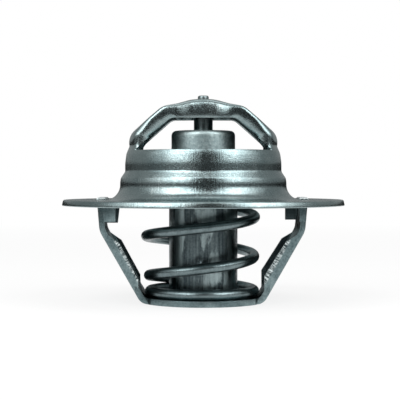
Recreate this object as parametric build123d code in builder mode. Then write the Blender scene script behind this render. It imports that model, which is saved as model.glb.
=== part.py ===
"""Wax thermostat insert for an engine's cooling circuit.

Frame: +Z up along the piston, origin on that axis at the underside of the lower frame.
The bridge runs along X. All lengths are in millimetres, all angles in degrees.
"""

import os
from math import cos, pi, radians, sin, sqrt, tan

from build123d import *

# Overall sizes, the three that the drawing gives
FLANGE_DIAMETER = 53.5
OVERALL_HEIGHT = 38.3
BRIDGE_ABOVE_FLANGE = 20.0

# Valve housing, one drawn sheet: heights are above the flange's lower face
HOUSING_SHEET = 1.1
LOWER_TIER_RADIUS = 15.78
UPPER_TIER_RADIUS = 14.83
STEP_FOOT_HEIGHT = 5.15
STEP_HEAD_HEIGHT = 6.45
SHOULDER_HEIGHT = 9.7
NECK_HEIGHT = 11.2
WINDOW_SILL_HEIGHT = 10.4
FLARE_RADIUS = 2.4
STEP_BEND_RADIUS = 1.5
STEP_ROOT_RADIUS = 0.8
SHOULDER_BEND_RADIUS = 2.5

# Bridge, the band of the drawn roof that the two windows leave
BRIDGE_WIDTH = 13.6
LEG_RADIUS = 14.0
LEG_HEIGHT = 13.0
ROOF_BEND_RADIUS = 8.0
ROOF_BEND_HEIGHT = 18.55
CROWN_RADIUS = 2.5
LEG_BEND_RADIUS = 3.0
ROOF_FOLD_RADIUS = 4.0
BRIDGE_EDGE_RADIUS = 1.6
RIM_STEP = 0.15
WINDOW_TOP_HEIGHT = 17.0
WINDOW_TOP_WIDTH = 11.7
WINDOW_SILL_WIDTH = 25.7
WINDOW_CORNER_RADIUS = 1.6

# Lower frame, one bent strap: depths are below the flange's lower face
FRAME_SHEET = 1.1
ARM_TOP_REACH = 19.35
KNEE_REACH = 18.93
KNEE_DEPTH = 4.7
KNEE_BEND_RADIUS = 4.0
SPRING_SIDE_CLEARANCE = 0.29
FOOT_BEND_RADIUS = 2.3
ARM_WIDTH = 13.0
SEAT_PLATE_MARGIN = 0.65
FOOT_STRIP_WIDTH = 11.0
RELIEF_STEP = 1.16
ARM_EDGE_RADIUS = 1.0
SIDE_FLANGE_DEPTH = 2.4
SIDE_FLANGE_HEAD_SLOPE = 32.0
SIDE_FLANGE_FOOT_STEP = 0.66
SIDE_FLANGE_FOOT_HEIGHT = 3.4
EAR_WIDTH = 3.4
EAR_HEIGHT = 2.9
NOTCH_HEIGHT = 2.15
TAB_WIDTH = 7.2
TAB_HEAD_OVERHANG = 0.3
TAB_HEAD_HEIGHT = 0.45
TAB_HEAD_EDGE = 0.2
SLOT_CLEARANCE = 0.1

# Piston, riveted into the bridge: its foot's depth is below the flange's lower face
PISTON_DIAMETER = 3.6
PISTON_FOOT_DEPTH = 9.0
PISTON_CONE_LENGTH = 2.0
PISTON_CONE_TIP_DIAMETER = 1.4
RIVET_HEAD_DIAMETER = 2.1
RIVET_HEAD_HEIGHT = 0.85
RIVET_HEAD_EDGE = 0.25
RIVET_NECK_DIAMETER = 1.7
RIVET_HOLE_CLEARANCE = 0.02
RUNNING_CLEARANCE = 0.05

# Expansion element
CUP_DIAMETER = 13.0
CUP_WALL = 0.6
CUP_FLOOR_CLEARANCE = 0.7
CUP_FLOOR_RADIUS = 1.4
CUP_HOLE_CLEARANCE = 0.35
COLLAR_DIAMETER = 16.6
COLLAR_EDGE_RADIUS = 0.8
COLLAR_ROOT_RADIUS = 0.3
CRIMP_OVERLAP = 0.9
GUIDE_DIAMETER = 12.1
GUIDE_TOP_HEIGHT = 14.0
GUIDE_EDGE_RADIUS = 0.6
GUIDE_FLANGE_THICKNESS = 1.5
GUIDE_FLANGE_CHAMFER = 0.25
SLEEVE_FLANGE_THICKNESS = 0.9
SLEEVE_WALL = 1.5
SLEEVE_TIP_WALL = 1.1
CHAFE_RING_WALL = 1.1
CHAFE_RING_HEIGHT = 0.8
WIPER_RING_WALL = 0.9
WIPER_RING_HEIGHT = 0.8
WIPER_RING_DEPTH = 0.9
STATIC_CLEARANCE = 0.03

# Valve disc and the rubber on its edge: heights are above the flange's lower face
DISC_SHEET = 0.9
DISC_UNDERSIDE_HEIGHT = 4.0
DISC_RADIUS = 13.6
DISH_DEPTH = 0.9
DISH_CLEARANCE = 0.15
DISH_ROOT_RADIUS = 0.4
DISH_RIM_RADIUS = 1.1
DISC_HOLE_CLEARANCE = 0.05
SEAL_COVER = 0.7
SEAL_GRIP = 0.8
SEAL_EDGE_WALL = 0.6
SEAL_TOP_HEIGHT = 6.0
SEAT_GAP = 0.12

# Main spring, its end turns closed and lying flat
WIRE_DIAMETER = 2.0
SPRING_TOP_DIAMETER = 23.2
SPRING_FOOT_DIAMETER = 21.7
SPRING_TURNS = 4.63
CLOSED_TURNS = 0.85
BLEND_TURNS = 0.35
SPRING_FOOT_ANGLE = 29.5
SPRING_HEAD_CLEARANCE = 0.02
POINTS_PER_TURN = 16

# Levels and radii that more than one piece shares
flange_z = OVERALL_HEIGHT - BRIDGE_ABOVE_FLANGE
flange_top_z = flange_z + HOUSING_SHEET
seat_plate_top_z = FRAME_SHEET
bridge_web_z = OVERALL_HEIGHT - HOUSING_SHEET
sill_z = flange_z + WINDOW_SILL_HEIGHT
disc_underside_z = flange_z + DISC_UNDERSIDE_HEIGHT
disc_top_z = disc_underside_z + DISC_SHEET
dish_floor_z = disc_top_z - DISH_DEPTH
sleeve_flange_z = dish_floor_z + CUP_WALL
guide_flange_z = sleeve_flange_z + SLEEVE_FLANGE_THICKNESS
guide_shoulder_z = guide_flange_z + GUIDE_FLANGE_THICKNESS
collar_top_z = guide_shoulder_z + CUP_WALL
guide_top_z = flange_z + GUIDE_TOP_HEIGHT
piston_foot_z = flange_z - PISTON_FOOT_DEPTH

flange_radius = FLANGE_DIAMETER / 2
piston_radius = PISTON_DIAMETER / 2
bore_radius = piston_radius + RUNNING_CLEARANCE
cup_radius = CUP_DIAMETER / 2
collar_radius = COLLAR_DIAMETER / 2
collar_bore_radius = collar_radius - CUP_WALL
chafe_pocket_radius = bore_radius + CHAFE_RING_WALL
wiper_groove_radius = bore_radius + WIPER_RING_WALL

os.makedirs("parts", exist_ok=True)


def save(piece, name):
    """Label a finished piece and write it to its own file."""
    piece.label = name
    export_step(piece, f"parts/{name}.step")
    print(f"{name}: {piece.volume:.2f} mm3, {len(piece.solids())} solid")



def parallel_line(points, bends, distance):
    """Corners and bend radii of the line that runs a distance to the left of another."""
    corners = [Vector(*point) for point in points]
    steps = [(after - before).normalized() for before, after in zip(corners, corners[1:])]
    normals = [Vector(-step.Y, step.X) for step in steps]
    moved = [corners[0] + normals[0] * distance]
    radii = []
    for index, bend in enumerate(bends):
        behind, ahead = normals[index], normals[index + 1]
        mitre = (behind + ahead) / (1 + behind.dot(ahead))
        moved.append(corners[index + 1] + mitre * distance)
        turns_left = steps[index].cross(steps[index + 1]).Z > 0
        radii.append(max(bend - distance, 0) if turns_left else bend + distance)
    moved.append(corners[-1] + normals[-1] * distance)
    return [(corner.X, corner.Y) for corner in moved], radii


def bent_sheet(points, bends, thickness):
    """Section of a sheet whose outer face follows a line, its thickness to the left."""
    inner_points, inner_bends = parallel_line(points, bends, thickness)
    with BuildSketch(Plane.XZ) as section:
        with BuildLine():
            FilletPolyline(*points, radius=bends)
            FilletPolyline(*inner_points, radius=inner_bends)
            Line(points[0], inner_points[0])
            Line(points[-1], inner_points[-1])
        make_face()
    return section.sketch


def turned_section(*points):
    """Section of a turned piece: the half outline through its corners, filled."""
    with BuildSketch(Plane.XZ) as section:
        with BuildLine():
            Polyline(*points, close=True)
        make_face()
    return section.sketch


# Valve housing: the outer line of the drawn shell, from the flange's edge to the crown
shell_line = [
    (flange_radius, flange_top_z),
    (LOWER_TIER_RADIUS, flange_top_z),
    (LOWER_TIER_RADIUS, flange_z + STEP_FOOT_HEIGHT),
    (UPPER_TIER_RADIUS, flange_z + STEP_HEAD_HEIGHT),
    (UPPER_TIER_RADIUS, flange_z + SHOULDER_HEIGHT),
    (LEG_RADIUS, flange_z + NECK_HEIGHT),
    (LEG_RADIUS, flange_z + LEG_HEIGHT),
    (ROOF_BEND_RADIUS, flange_z + ROOF_BEND_HEIGHT),
    (CROWN_RADIUS, OVERALL_HEIGHT),
    (0, OVERALL_HEIGHT),
]
shell_bends = [
    FLARE_RADIUS,
    STEP_BEND_RADIUS,
    STEP_ROOT_RADIUS,
    SHOULDER_BEND_RADIUS,
    STEP_ROOT_RADIUS,
    LEG_BEND_RADIUS,
    ROOF_FOLD_RADIUS,
    ROOF_FOLD_RADIUS,
]

# Bridge: it follows the same roof, its feet a small step in from the dome's rim
bridge_line = [
    (radius - RIM_STEP if radius == UPPER_TIER_RADIUS else radius, height)
    for radius, height in shell_line
]
bridge_inner_line, bridge_inner_bends = parallel_line(bridge_line, shell_bends, HOUSING_SHEET)


def roof_band(line, bends, half_width):
    """Solid under a roof line above the window sills, cut to a width."""
    base_z = line[0][1] - HOUSING_SHEET
    with BuildPart() as band:
        with BuildSketch(Plane.XZ):
            with BuildLine():
                FilletPolyline(*line, radius=bends)
                Polyline(line[-1], (0, base_z), (flange_radius, base_z), line[0])
            make_face()
        revolve(axis=Axis.Z)
        with BuildSketch(Plane.XY.offset(sill_z)):
            Rectangle(2 * flange_radius, 2 * half_width)
        extrude(amount=OVERALL_HEIGHT - sill_z, mode=Mode.INTERSECT)
    return band.part


with BuildPart() as bridge:
    add(roof_band(bridge_line, shell_bends, BRIDGE_WIDTH / 2))
    sides = bridge.faces().sort_by(Axis.Y)
    for side in (sides[0], sides[-1]):
        fillet(side.edges().sort_by(Axis.Z)[1:], radius=BRIDGE_EDGE_RADIUS)
    hollow = roof_band(bridge_inner_line, bridge_inner_bends, BRIDGE_WIDTH / 2 - HOUSING_SHEET)
    add(hollow, mode=Mode.SUBTRACT)
    with BuildSketch(Plane.XZ):
        with BuildLine():
            FilletPolyline(
                (-WINDOW_SILL_WIDTH / 2, sill_z),
                (-WINDOW_TOP_WIDTH / 2, flange_z + WINDOW_TOP_HEIGHT),
                (WINDOW_TOP_WIDTH / 2, flange_z + WINDOW_TOP_HEIGHT),
                (WINDOW_SILL_WIDTH / 2, sill_z),
                radius=WINDOW_CORNER_RADIUS,
            )
            Line((WINDOW_SILL_WIDTH / 2, sill_z), (-WINDOW_SILL_WIDTH / 2, sill_z))
        make_face()
    extrude(amount=BRIDGE_WIDTH, both=True, mode=Mode.SUBTRACT)
    with Locations((0, 0, OVERALL_HEIGHT)):
        Hole(radius=RIVET_NECK_DIAMETER / 2 + RIVET_HOLE_CLEARANCE, depth=2 * HOUSING_SHEET)

arm_lean = (ARM_TOP_REACH - KNEE_REACH) / KNEE_DEPTH
tab_reach = ARM_TOP_REACH - FRAME_SHEET / 2

with BuildPart() as valve_housing:
    revolve(bent_sheet(shell_line, shell_bends, HOUSING_SHEET), axis=Axis.Z)
    with BuildSketch(Plane.XY.offset(sill_z)):
        Circle(flange_radius)
    extrude(amount=OVERALL_HEIGHT - sill_z, mode=Mode.SUBTRACT)
    add(bridge.part)
    with BuildSketch(Plane.XY.offset(flange_z)):
        with Locations((tab_reach, 0), (-tab_reach, 0)):
            Rectangle(FRAME_SHEET + 2 * SLOT_CLEARANCE, TAB_WIDTH + 2 * SLOT_CLEARANCE)
    extrude(amount=HOUSING_SHEET, mode=Mode.SUBTRACT)
save(valve_housing.part, "valve_housing")

# Lower frame: the strap's outer line, from the top of one arm round to the other
foot_reach = SPRING_FOOT_DIAMETER / 2 + SPRING_SIDE_CLEARANCE
seat_plate_radius = SPRING_FOOT_DIAMETER / 2 + SEAT_PLATE_MARGIN
relief_reach = foot_reach + RELIEF_STEP
arm_run = (KNEE_REACH - foot_reach) / (flange_z - KNEE_DEPTH)
arm_end_z = flange_z + FRAME_SHEET
arm_end_reach = ARM_TOP_REACH + FRAME_SHEET * arm_lean
strap_line = [
    (-arm_end_reach, arm_end_z),
    (-KNEE_REACH, flange_z - KNEE_DEPTH),
    (-foot_reach, 0),
    (foot_reach, 0),
    (KNEE_REACH, flange_z - KNEE_DEPTH),
    (arm_end_reach, arm_end_z),
]
strap_bends = [KNEE_BEND_RADIUS, FOOT_BEND_RADIUS, FOOT_BEND_RADIUS, KNEE_BEND_RADIUS]

# Side flange of the right arm: a tapered head, a straight inner edge, an upright foot
head_depth = EAR_HEIGHT + NOTCH_HEIGHT
head_reach = ARM_TOP_REACH - head_depth * arm_lean - FRAME_SHEET
head_run = 1 / tan(radians(SIDE_FLANGE_HEAD_SLOPE))
inner_edge_start = KNEE_REACH + KNEE_DEPTH * arm_run - SIDE_FLANGE_DEPTH * sqrt(1 + arm_run**2)
head_corner_depth = (inner_edge_start - head_reach - head_depth * head_run) / (arm_run - head_run)
side_flange_foot_reach = foot_reach + SIDE_FLANGE_FOOT_STEP
foot_corner_depth = (inner_edge_start - side_flange_foot_reach) / arm_run
side_flange_corners = [
    (flange_radius, flange_z - head_depth),
    (head_reach, flange_z - head_depth),
    (inner_edge_start - head_corner_depth * arm_run, flange_z - head_corner_depth),
    (side_flange_foot_reach, flange_z - foot_corner_depth),
    (side_flange_foot_reach, SIDE_FLANGE_FOOT_HEIGHT),
    (flange_radius, SIDE_FLANGE_FOOT_HEIGHT),
]
ear_reach = ARM_TOP_REACH - EAR_WIDTH
ear_corners = [
    (flange_radius, flange_z),
    (ear_reach, flange_z),
    (ear_reach, flange_z - EAR_HEIGHT),
    (flange_radius, flange_z - EAR_HEIGHT),
]


def side_flange(side, level, has_ear):
    """Outline of one arm's side flange, with the ear above its notch where the arm has one."""
    outlines = [side_flange_corners, ear_corners] if has_ear else [side_flange_corners]
    with BuildSketch(Plane.XZ.offset(level)) as flange:
        for corners in outlines:
            with BuildLine():
                Polyline(*[(side * reach, height) for reach, height in corners], close=True)
            make_face()
        with BuildLine() as strap_outside:
            FilletPolyline(*strap_line, radius=strap_bends)
            Line(strap_line[0], strap_line[-1])
        make_face(mode=Mode.INTERSECT)
    return flange.sketch


with BuildPart() as lower_frame:
    strap = bent_sheet(strap_line, strap_bends, FRAME_SHEET)
    extrude(strap, amount=seat_plate_radius, both=True)
    with BuildSketch(Plane.XY) as plan:
        Circle(seat_plate_radius)
        Rectangle(2 * flange_radius, FOOT_STRIP_WIDTH)
        for side in (1, -1):
            with Locations((side * (flange_radius + relief_reach) / 2, 0)):
                Rectangle(flange_radius - relief_reach, ARM_WIDTH)
    extrude(amount=flange_z, mode=Mode.INTERSECT)
    near_level = ARM_WIDTH / 2 - FRAME_SHEET
    far_level = -ARM_WIDTH / 2
    extrude(side_flange(-1, near_level, True), amount=FRAME_SHEET)
    extrude(side_flange(-1, far_level, True), amount=FRAME_SHEET)
    extrude(side_flange(1, near_level, False), amount=FRAME_SHEET)
    extrude(side_flange(1, far_level, True), amount=FRAME_SHEET)
    arm_middles = [
        Vertex(side * (KNEE_REACH + foot_reach) / 2, edge_level, (flange_z - KNEE_DEPTH) / 2)
        for side in (1, -1)
        for edge_level in (ARM_WIDTH / 2, -ARM_WIDTH / 2)
    ]
    arm_edges = [lower_frame.edges().sort_by_distance(middle)[0] for middle in arm_middles]
    fillet(arm_edges, radius=ARM_EDGE_RADIUS)
    with Locations((0, 0, seat_plate_top_z)):
        Hole(radius=cup_radius + CUP_HOLE_CLEARANCE, depth=2 * FRAME_SHEET)
    for side in (1, -1):
        with Locations((side * tab_reach, 0, flange_z)):
            Box(
                FRAME_SHEET,
                TAB_WIDTH,
                HOUSING_SHEET,
                align=(Align.CENTER, Align.CENTER, Align.MIN),
            )
        with BuildSketch(Plane.XY.offset(flange_top_z)):
            with Locations((side * tab_reach, 0)):
                Rectangle(FRAME_SHEET + 2 * TAB_HEAD_OVERHANG, TAB_WIDTH + 2 * TAB_HEAD_OVERHANG)
        extrude(amount=TAB_HEAD_HEIGHT)
    chamfer(lower_frame.edges().group_by(Axis.Z)[-1], length=TAB_HEAD_EDGE)
save(lower_frame.part, "lower_frame")

# Piston: cone foot, shank up to the bridge, thin neck through it and a riveted head
rivet_top_z = OVERALL_HEIGHT + RIVET_HEAD_HEIGHT
neck_radius = RIVET_NECK_DIAMETER / 2
head_radius = RIVET_HEAD_DIAMETER / 2
cone_tip_radius = PISTON_CONE_TIP_DIAMETER / 2
cone_top_z = piston_foot_z + PISTON_CONE_LENGTH

with BuildPart() as piston:
    section = turned_section(
        (0, piston_foot_z),
        (cone_tip_radius, piston_foot_z),
        (piston_radius, cone_top_z),
        (piston_radius, bridge_web_z),
        (neck_radius, bridge_web_z),
        (neck_radius, OVERALL_HEIGHT),
        (head_radius, OVERALL_HEIGHT),
        (head_radius, rivet_top_z - RIVET_HEAD_EDGE),
        (head_radius - RIVET_HEAD_EDGE, rivet_top_z),
        (0, rivet_top_z),
    )
    revolve(section, axis=Axis.Z)
save(piston.part, "piston")

# Expansion element: the cup, drawn and crimped over the flange of the guide
crimp_radius = collar_bore_radius - CRIMP_OVERLAP
cup_line = [
    (0, CUP_FLOOR_CLEARANCE),
    (cup_radius, CUP_FLOOR_CLEARANCE),
    (cup_radius, dish_floor_z),
    (collar_radius, dish_floor_z),
    (collar_radius, collar_top_z),
    (crimp_radius, collar_top_z),
]
cup_bends = [CUP_FLOOR_RADIUS, COLLAR_ROOT_RADIUS, COLLAR_EDGE_RADIUS, COLLAR_EDGE_RADIUS]
with BuildPart() as wax_cup:
    revolve(bent_sheet(cup_line, cup_bends, CUP_WALL), axis=Axis.Z)
save(wax_cup.part, "wax_cup")

# Guide: head, flange under the crimp, bore for the piston, seats for its two rings
guide_radius = GUIDE_DIAMETER / 2
guide_flange_radius = collar_bore_radius - STATIC_CLEARANCE
chafe_pocket_top_z = guide_flange_z + CHAFE_RING_HEIGHT
wiper_top_z = guide_top_z - WIPER_RING_DEPTH
wiper_foot_z = wiper_top_z - WIPER_RING_HEIGHT
with BuildPart() as guide_cap:
    section = turned_section(
        (chafe_pocket_radius, guide_flange_z),
        (guide_flange_radius - GUIDE_FLANGE_CHAMFER, guide_flange_z),
        (guide_flange_radius, guide_flange_z + GUIDE_FLANGE_CHAMFER),
        (guide_flange_radius, guide_shoulder_z - GUIDE_FLANGE_CHAMFER),
        (guide_flange_radius - GUIDE_FLANGE_CHAMFER, guide_shoulder_z),
        (guide_radius, guide_shoulder_z),
        (guide_radius, guide_top_z),
        (bore_radius, guide_top_z),
        (bore_radius, wiper_top_z),
        (wiper_groove_radius, wiper_top_z),
        (wiper_groove_radius, wiper_foot_z),
        (bore_radius, wiper_foot_z),
        (bore_radius, chafe_pocket_top_z),
        (chafe_pocket_radius, chafe_pocket_top_z),
    )
    revolve(section, axis=Axis.Z)
    rim = guide_cap.edges().group_by(Axis.Z)[-1].sort_by(SortBy.RADIUS)[-1]
    fillet(rim, radius=GUIDE_EDGE_RADIUS)
save(guide_cap.part, "guide_cap")

with BuildPart() as chafe_ring:
    with BuildSketch(Plane.XY.offset(guide_flange_z)):
        Circle(chafe_pocket_radius - STATIC_CLEARANCE)
        Circle(bore_radius, mode=Mode.SUBTRACT)
    extrude(amount=CHAFE_RING_HEIGHT)
save(chafe_ring.part, "chafe_ring")

with BuildPart() as wiper_ring:
    with BuildSketch(Plane.XY.offset(wiper_foot_z)):
        Circle(wiper_groove_radius - STATIC_CLEARANCE)
        Circle(bore_radius, mode=Mode.SUBTRACT)
    extrude(amount=WIPER_RING_HEIGHT)
save(wiper_ring.part, "wiper_ring")

# Rubber sleeve: flange under the guide, tube round the piston, closed foot
sleeve_radius = bore_radius + SLEEVE_WALL
sleeve_tip_radius = cone_tip_radius + RUNNING_CLEARANCE + SLEEVE_TIP_WALL
sleeve_floor_z = piston_foot_z - RUNNING_CLEARANCE
sleeve_foot_z = sleeve_floor_z - SLEEVE_WALL
sleeve_flange_radius = collar_bore_radius - STATIC_CLEARANCE
with BuildPart() as rubber_sleeve:
    section = turned_section(
        (0, sleeve_foot_z),
        (sleeve_tip_radius, sleeve_foot_z),
        (sleeve_radius, cone_top_z),
        (sleeve_radius, sleeve_flange_z),
        (sleeve_flange_radius - GUIDE_FLANGE_CHAMFER, sleeve_flange_z),
        (sleeve_flange_radius, sleeve_flange_z + GUIDE_FLANGE_CHAMFER),
        (sleeve_flange_radius, guide_flange_z),
        (bore_radius, guide_flange_z),
        (bore_radius, cone_top_z),
        (cone_tip_radius + RUNNING_CLEARANCE, sleeve_floor_z),
        (0, sleeve_floor_z),
    )
    revolve(section, axis=Axis.Z)
save(rubber_sleeve.part, "rubber_sleeve")

# Wax: all the room that the cup leaves round the sleeve
wax_radius = cup_radius - CUP_WALL - STATIC_CLEARANCE
wax_foot_z = CUP_FLOOR_CLEARANCE + CUP_WALL
wax_edge = CUP_FLOOR_RADIUS - CUP_WALL
with BuildPart() as wax_charge:
    section = turned_section(
        (0, wax_foot_z),
        (wax_radius - wax_edge, wax_foot_z),
        (wax_radius, wax_foot_z + wax_edge),
        (wax_radius, sleeve_flange_z),
        (sleeve_radius + STATIC_CLEARANCE, sleeve_flange_z),
        (sleeve_radius + STATIC_CLEARANCE, cone_top_z),
        (sleeve_tip_radius + STATIC_CLEARANCE, sleeve_foot_z),
        (0, sleeve_foot_z),
    )
    revolve(section, axis=Axis.Z)
save(wax_charge.part, "wax_charge")

# Valve disc: flat rim, and a dish that takes the collar of the cup
dish_radius = collar_radius + DISH_CLEARANCE
disc_line = [
    (DISC_RADIUS, disc_top_z),
    (dish_radius + DISH_DEPTH, disc_top_z),
    (dish_radius, dish_floor_z),
    (cup_radius + COLLAR_ROOT_RADIUS + DISC_HOLE_CLEARANCE, dish_floor_z),
]
with BuildPart() as valve_disc:
    disc_bends = [DISH_RIM_RADIUS, DISH_ROOT_RADIUS]
    revolve(bent_sheet(disc_line, disc_bends, DISC_SHEET), axis=Axis.Z)
save(valve_disc.part, "valve_disc")

# Rubber seal: grips the disc's edge, its upper corner cut to the cone of the seat
seat_run = UPPER_TIER_RADIUS - LOWER_TIER_RADIUS
seat_rise = STEP_HEAD_HEIGHT - STEP_FOOT_HEIGHT
seat_length = Vector(seat_run, seat_rise).length
seat_offset = (HOUSING_SHEET + SEAT_GAP) / seat_length
seat_foot = (
    LOWER_TIER_RADIUS - seat_rise * seat_offset,
    flange_z + STEP_FOOT_HEIGHT + seat_run * seat_offset,
)
seal_radius = DISC_RADIUS + SEAL_EDGE_WALL
seal_top_z = flange_z + SEAL_TOP_HEIGHT
seal_foot_z = disc_underside_z - SEAL_COVER
seal_bore_radius = DISC_RADIUS - SEAL_GRIP
seal_cone_foot_z = seat_foot[1] + (seal_radius - seat_foot[0]) * seat_rise / seat_run
seal_cone_top_radius = seat_foot[0] + (seal_top_z - seat_foot[1]) * seat_run / seat_rise
with BuildPart() as valve_seal:
    section = turned_section(
        (seal_bore_radius, seal_foot_z),
        (seal_radius, seal_foot_z),
        (seal_radius, seal_cone_foot_z),
        (seal_cone_top_radius, seal_top_z),
        (seal_bore_radius, seal_top_z),
        (seal_bore_radius, disc_top_z),
        (DISC_RADIUS, disc_top_z),
        (DISC_RADIUS, disc_underside_z),
        (seal_bore_radius, disc_underside_z),
    )
    revolve(section, axis=Axis.Z)
save(valve_seal.part, "valve_seal")

# Main spring: a helix whose pitch falls to nothing in its closed end turns
wire_radius = WIRE_DIAMETER / 2
spring_foot_z = seat_plate_top_z + wire_radius
spring_top_z = disc_underside_z - SPRING_HEAD_CLEARANCE - wire_radius
spring_rise = spring_top_z - spring_foot_z
active_turns = SPRING_TURNS - 2 * (CLOSED_TURNS + BLEND_TURNS)
spring_pitch = spring_rise / (active_turns + BLEND_TURNS)


def coil_height(turn):
    """Height of the wire's centre after a number of turns from the foot."""
    upper = turn > SPRING_TURNS / 2
    run = (SPRING_TURNS - turn if upper else turn) - CLOSED_TURNS
    if run <= 0:
        climb = 0
    elif run < BLEND_TURNS:
        climb = spring_pitch * run**2 / (2 * BLEND_TURNS)
    else:
        climb = spring_pitch * (run - BLEND_TURNS / 2)
    return spring_top_z - climb if upper else spring_foot_z + climb


def coil_point(turn):
    """Centre of the wire after a number of turns from the foot."""
    height = coil_height(turn)
    share = (height - spring_foot_z) / spring_rise
    foot_radius = (SPRING_FOOT_DIAMETER - WIRE_DIAMETER) / 2
    top_radius = (SPRING_TOP_DIAMETER - WIRE_DIAMETER) / 2
    radius = foot_radius + share * (top_radius - foot_radius)
    angle = radians(SPRING_FOOT_ANGLE) + 2 * pi * turn
    return (radius * cos(angle), radius * sin(angle), height)


coil_steps = round(SPRING_TURNS * POINTS_PER_TURN)
with BuildPart() as main_spring:
    with BuildLine() as coil:
        Spline(*[coil_point(SPRING_TURNS * step / coil_steps) for step in range(coil_steps + 1)])
    with BuildSketch(Plane(origin=coil.line @ 0, z_dir=coil.line % 0)):
        Circle(wire_radius)
    sweep(is_frenet=True)
save(main_spring.part, "main_spring")
print(f"spring pitch {spring_pitch:.2f} mm, {SPRING_TURNS} turns")
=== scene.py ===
# %% [markdown]
# # An engine thermostat insert, dressed for a catalogue picture
#
# The solids of this part were built first in CAD, at their real size. This lesson keeps their places
# and makes the surfaces: drawn sheet steel, a bent strap, dark spring wire, turned steel and rubber.
# Every length below is written in millimetres and turned into metres in one place.

import math

import bpy
import numpy as np
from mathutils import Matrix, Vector


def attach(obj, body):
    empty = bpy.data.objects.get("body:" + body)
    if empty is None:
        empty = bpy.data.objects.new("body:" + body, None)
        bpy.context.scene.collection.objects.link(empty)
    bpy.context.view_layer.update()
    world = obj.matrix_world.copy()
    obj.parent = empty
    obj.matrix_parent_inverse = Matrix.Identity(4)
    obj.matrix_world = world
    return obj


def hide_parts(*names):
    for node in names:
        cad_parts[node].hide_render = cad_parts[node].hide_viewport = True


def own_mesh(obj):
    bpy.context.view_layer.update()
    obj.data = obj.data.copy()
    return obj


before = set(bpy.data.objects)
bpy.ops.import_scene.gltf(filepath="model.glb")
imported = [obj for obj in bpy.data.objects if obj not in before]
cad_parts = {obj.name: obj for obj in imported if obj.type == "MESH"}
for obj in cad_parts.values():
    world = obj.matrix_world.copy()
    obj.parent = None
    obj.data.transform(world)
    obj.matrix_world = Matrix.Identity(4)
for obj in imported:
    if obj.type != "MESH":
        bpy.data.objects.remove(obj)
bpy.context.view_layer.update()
print("CAD pieces:", sorted(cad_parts))

# %% [markdown]
# ## Small tools
#
# Operators act on whatever is selected, and the loader leaves its pieces selected, so each step
# starts by clearing the selection. A few helpers keep the later cells short: they round the corners
# of an outline, trace it with extruded points, spin it, dull its edges, and tie a finished piece to
# its body.

# %% Helpers for selecting, tracing and finishing
MM = 0.001
TINY = 1e-6
STRAIGHT = 0.01
SPIN_WELD = 0.002


def clear_selection():
    """Deselect everything and leave edit mode."""
    if bpy.context.object and bpy.context.object.mode != "OBJECT":
        bpy.ops.object.mode_set(mode="OBJECT")
    bpy.ops.object.select_all(action="DESELECT")


def make_active(piece):
    """Select one piece alone and make it the active one."""
    clear_selection()
    piece.select_set(True)
    bpy.context.view_layer.objects.active = piece


def rounded(corners, radii, step_angle):
    """Outline through corners in mm, the inner ones rounded, one point every few degrees."""
    points = [Vector(corners[0])]
    for before, corner, after, radius in zip(corners, corners[1:], corners[2:], radii):
        here = Vector(corner)
        back = (Vector(before) - here).normalized()
        ahead = (Vector(after) - here).normalized()
        turn = math.pi - back.angle(ahead)
        if radius <= 0 or turn < STRAIGHT:
            points.append(here)
            continue
        reach = radius * math.tan(turn / 2)
        centre = here + (back + ahead).normalized() * radius / math.cos(turn / 2)
        start = here + back * reach - centre
        end = here + ahead * reach - centre
        steps = max(2, math.ceil(math.degrees(turn) / step_angle))
        for index in range(steps + 1):
            share = index / steps
            blend = start * math.sin((1 - share) * turn) + end * math.sin(share * turn)
            points.append(centre + blend / math.sin(turn))
    points.append(Vector(corners[-1]))
    return points


def trace_outline(name, points, closed=False):
    """Trace an outline in the XZ plane: one point, extruded from place to place."""
    clear_selection()
    bpy.ops.mesh.primitive_plane_add(size=MM, location=(0, 0, 0))
    piece = bpy.context.object
    piece.name = name
    piece.data.name = name
    bpy.ops.object.mode_set(mode="EDIT")
    bpy.ops.mesh.merge(type="CENTER")
    here = Vector((0, 0))
    for index, point in enumerate(points):
        move = (Vector(point) - here) * MM
        here = Vector(point)
        if index == 0:
            bpy.ops.transform.translate(value=(move.x, 0, move.y))
        else:
            bpy.ops.mesh.extrude_region_move(TRANSFORM_OT_translate={"value": (move.x, 0, move.y)})
    if closed:
        bpy.ops.object.mode_set(mode="OBJECT")
        piece.data.edges.add(1)
        piece.data.edges[-1].vertices = (len(points) - 1, 0)
        bpy.ops.object.mode_set(mode="EDIT")
    bpy.ops.mesh.select_all(action="SELECT")
    return piece


def spin_outline(steps):
    """Spin the selected outline once round the Z axis and close its seam and poles."""
    bpy.ops.mesh.spin(steps=steps, angle=2 * math.pi, center=(0, 0, 0), axis=(0, 0, 1))
    bpy.ops.mesh.select_all(action="SELECT")
    bpy.ops.mesh.remove_doubles(threshold=SPIN_WELD * MM)
    bpy.ops.mesh.normals_make_consistent(inside=False)
    bpy.ops.object.mode_set(mode="OBJECT")


def turned_piece(name, corners, radii, steps, step_angle=15.0):
    """Turned solid: a closed outline in mm, its corners rounded, spun round the Z axis."""
    points = rounded(corners, radii, step_angle)
    on_axis = abs(points[0].x) < TINY and abs(points[-1].x) < TINY
    piece = trace_outline(name, points, closed=not on_axis)
    spin_outline(steps)
    smooth_shading(piece)
    print(f"{name}: {len(piece.data.polygons)} faces")
    return piece


def apply_modifier(piece, kind, **settings):
    """Add a modifier, give it its settings and apply it."""
    make_active(piece)
    bpy.ops.object.modifier_add(type=kind)
    modifier = piece.modifiers[-1]
    for key, value in settings.items():
        setattr(modifier, key, value)
    bpy.ops.object.modifier_apply(modifier=modifier.name)


def dull_edges(piece, width, segments, angle):
    """Round, by a width in mm, the edges that turn by more than an angle in degrees."""
    apply_modifier(
        piece, "BEVEL", width=width * MM, segments=segments, limit_method="ANGLE",
        angle_limit=math.radians(angle),
    )


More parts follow.
